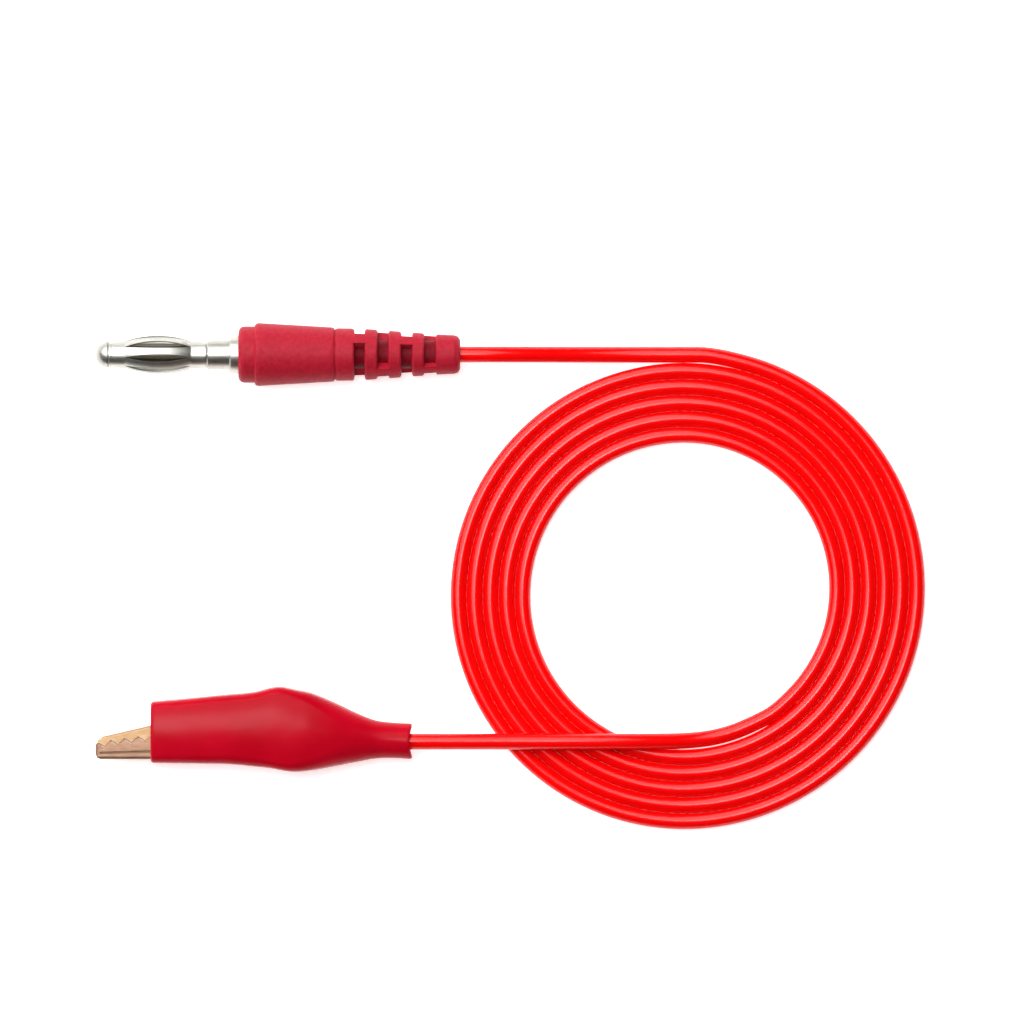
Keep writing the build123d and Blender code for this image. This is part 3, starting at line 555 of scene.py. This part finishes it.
def boot_ring(stations, x, grow=0.0):
    """The boot's section at x in millimetres, larger by grow all round; points in metres."""
    low, high, half_z, corner, oval = (smooth_value(stations, x, column) for column in range(1, 6))
    half_y = (high - low) / 2 + grow
    half_z += grow
    middle = (high + low) / 2
    box = box_quarter(half_y, half_z, corner)
    quarter = []
    for i, (y, z) in enumerate(box):
        angle = pi / 2 * i / (len(box) - 1)
        across = (1 - oval) * y + oval * half_y * cos(angle)
        upwards = (1 - oval) * z + oval * half_z * sin(angle)
        quarter.append((across, upwards))
    left = [(-y, z) for y, z in reversed(quarter[:-1])]
    upper = quarter + left
    lower = [(-y, -z) for y, z in upper[1:-1]]
    return [(x * MM, (middle + y) * MM, CLIP_Z + z * MM) for y, z in upper + lower]


def tail_dish(ring, end):
    """The ring pushed in along X at its top and bottom, as the tail's end edge is a shallow saddle."""
    middle_y = sum(place[1] for place in ring) / len(ring)
    half = max(abs(place[1] - middle_y) for place in ring)
    dished = []
    for x, y, z in ring:
        nearness = max(0.0, 1 - (end * MM - x) / (TAIL_DISH_LENGTH * MM))
        across = (y - middle_y) / half if half else 0.0
        dished.append((x - TAIL_DISH * MM * nearness**2 * (1 - across**2), y, z))
    return dished


def unevenness(ring):
    """The ring with each point moved inwards by up to a few hundredths of a millimetre."""
    middle_y = sum(place[1] for place in ring) / len(ring)
    moved = []
    for x, y, z in ring:
        height = 0.0
        for wave_x, wave_y, wave_z, phase, size in WAVES:
            height += size * sin(2 * pi * (x / wave_x + y / wave_y + z / wave_z) / MM + phase)
        outwards = Vector((0, y - middle_y, z - CLIP_Z)).normalized()
        depth = (height - WAVE_TOTAL) * MM
        moved.append((x, y + depth * outwards.y, z + depth * outwards.z))
    return moved


def make_boot(material):
    """The boot in one closed skin: outside, rim at the tail, inside, and rim at the mouth."""
    start, end = BOOT_OUTSIDE[0][0], BOOT_OUTSIDE[-1][0]
    rings = []
    for edge in MOUTH_EDGES:
        tuck = MOUTH_TUCK * (1 - edge / RIM) ** MOUTH_CURVE
        rings.append(boot_ring(BOOT_OUTSIDE, start + edge, -tuck))
    for i in range(1, OUTSIDE_STEPS):
        x = start + RIM + (end - start - 2 * RIM) * i / OUTSIDE_STEPS
        rings.append(tail_dish(boot_ring(BOOT_OUTSIDE, x), end))
    for edge in TAIL_EDGES:
        ring = boot_ring(BOOT_OUTSIDE, end - edge, -TAIL_TUCK * (1 - edge / RIM) ** 2)
        rings.append(tail_dish(ring, end))
    # the tail's end face, a little hollow, down to the bore that grips the cord
    for grow, depth in TAIL_FACE:
        ring = boot_ring(BOOT_OUTSIDE, end, grow)
        rings.append(tail_dish([(x - depth * MM, y, z) for x, y, z in ring], end))
    for i in range(INSIDE_STEPS + 1):
        x = end - BORE_START + (start - end + BORE_START) * i / INSIDE_STEPS
        rings.append(boot_ring(BOOT_INSIDE, x, MOUTH_FLARE if i == INSIDE_STEPS else 0.0))
    boot = closed_skin("boot", [unevenness(ring) for ring in rings], material)
    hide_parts("clip_boot")
    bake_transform(boot)


def make_spring(material):
    """The torsion spring's CAD shape, as a mesh of its own in the spring steel."""
    node = NODES["torsion_spring"]
    data = node.data.copy()
    data.name = "spring"
    data.transform(node.matrix_world)
    data.materials.clear()
    data.materials.append(material)
    spring = bpy.data.objects.new("spring", data)
    bpy.context.scene.collection.objects.link(spring)
    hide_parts("torsion_spring")
    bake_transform(spring)


# ---------------------------------------------------------------- the whole lead
PAINTED_SHADE_STUD_SPAN = (-17.9 * MM, -8.5 * MM)  # the stretch of the pin inside the contact cage's slots, painted dark as painted shade


def finish_metal():
    """Materials of the metal nodes."""
    warm_copper = plated_metal("copper_plate", *WARM_COPPER, 0.55, (1, 5, 5), 900)
    pink_copper = plated_metal("copper_plate_lower", *PINK_COPPER, 0.55, (1, 5, 5), 900)
    nickel = plated_metal("nickel_plate", *NICKEL, 0.36, (6, 1, 1), 1200, 0.002)
    # the pin's nickel, with painted shade where the contact cage shades its stud
    pin_nickel_painted_shade = plated_metal("nickel_plate_pin_painted_shade", *NICKEL, 0.36, (6, 1, 1), 1200, 0.002, PAINTED_SHADE_STUD_SPAN)
    steel = plated_metal("spring_steel", *STEEL, 0.25)
    strands = plated_metal("bare_copper", *BARE_COPPER, 0.35, (1, 8, 8))
    solder = plated_metal("solder", *SOLDER, 0.35)
    for name in ("lower_jaw", "pivot_rivet"):
        paint(name, pink_copper)
    paint("upper_jaw", warm_copper)
    for name in ("plug_nose_cap", "plug_contact_cage"):
        paint(name, nickel)
    paint("plug_pin", pin_nickel_painted_shade)
    make_spring(steel)
    for name in ("clip_conductor", "plug_conductor"):
        paint(name, strands)
    for name in ("clip_solder", "plug_solder"):
        paint(name, solder)


make_camera()
make_light()
make_floor()
jacket = cord_jacket()
cord = make_cord(jacket)
make_boot(boot_pvc())
finish_metal()
paint("plug_handle", handle_pvc())
# painted shade: the inner mould has the handle's red, darkened for the shade inside the handle's windows
paint("plug_inner_mould", handle_pvc("inner_mould_pvc", 0.42, 0.08))
for name in ("cord_clip_stub", "cord_plug_stub"):
    paint(name, jacket)
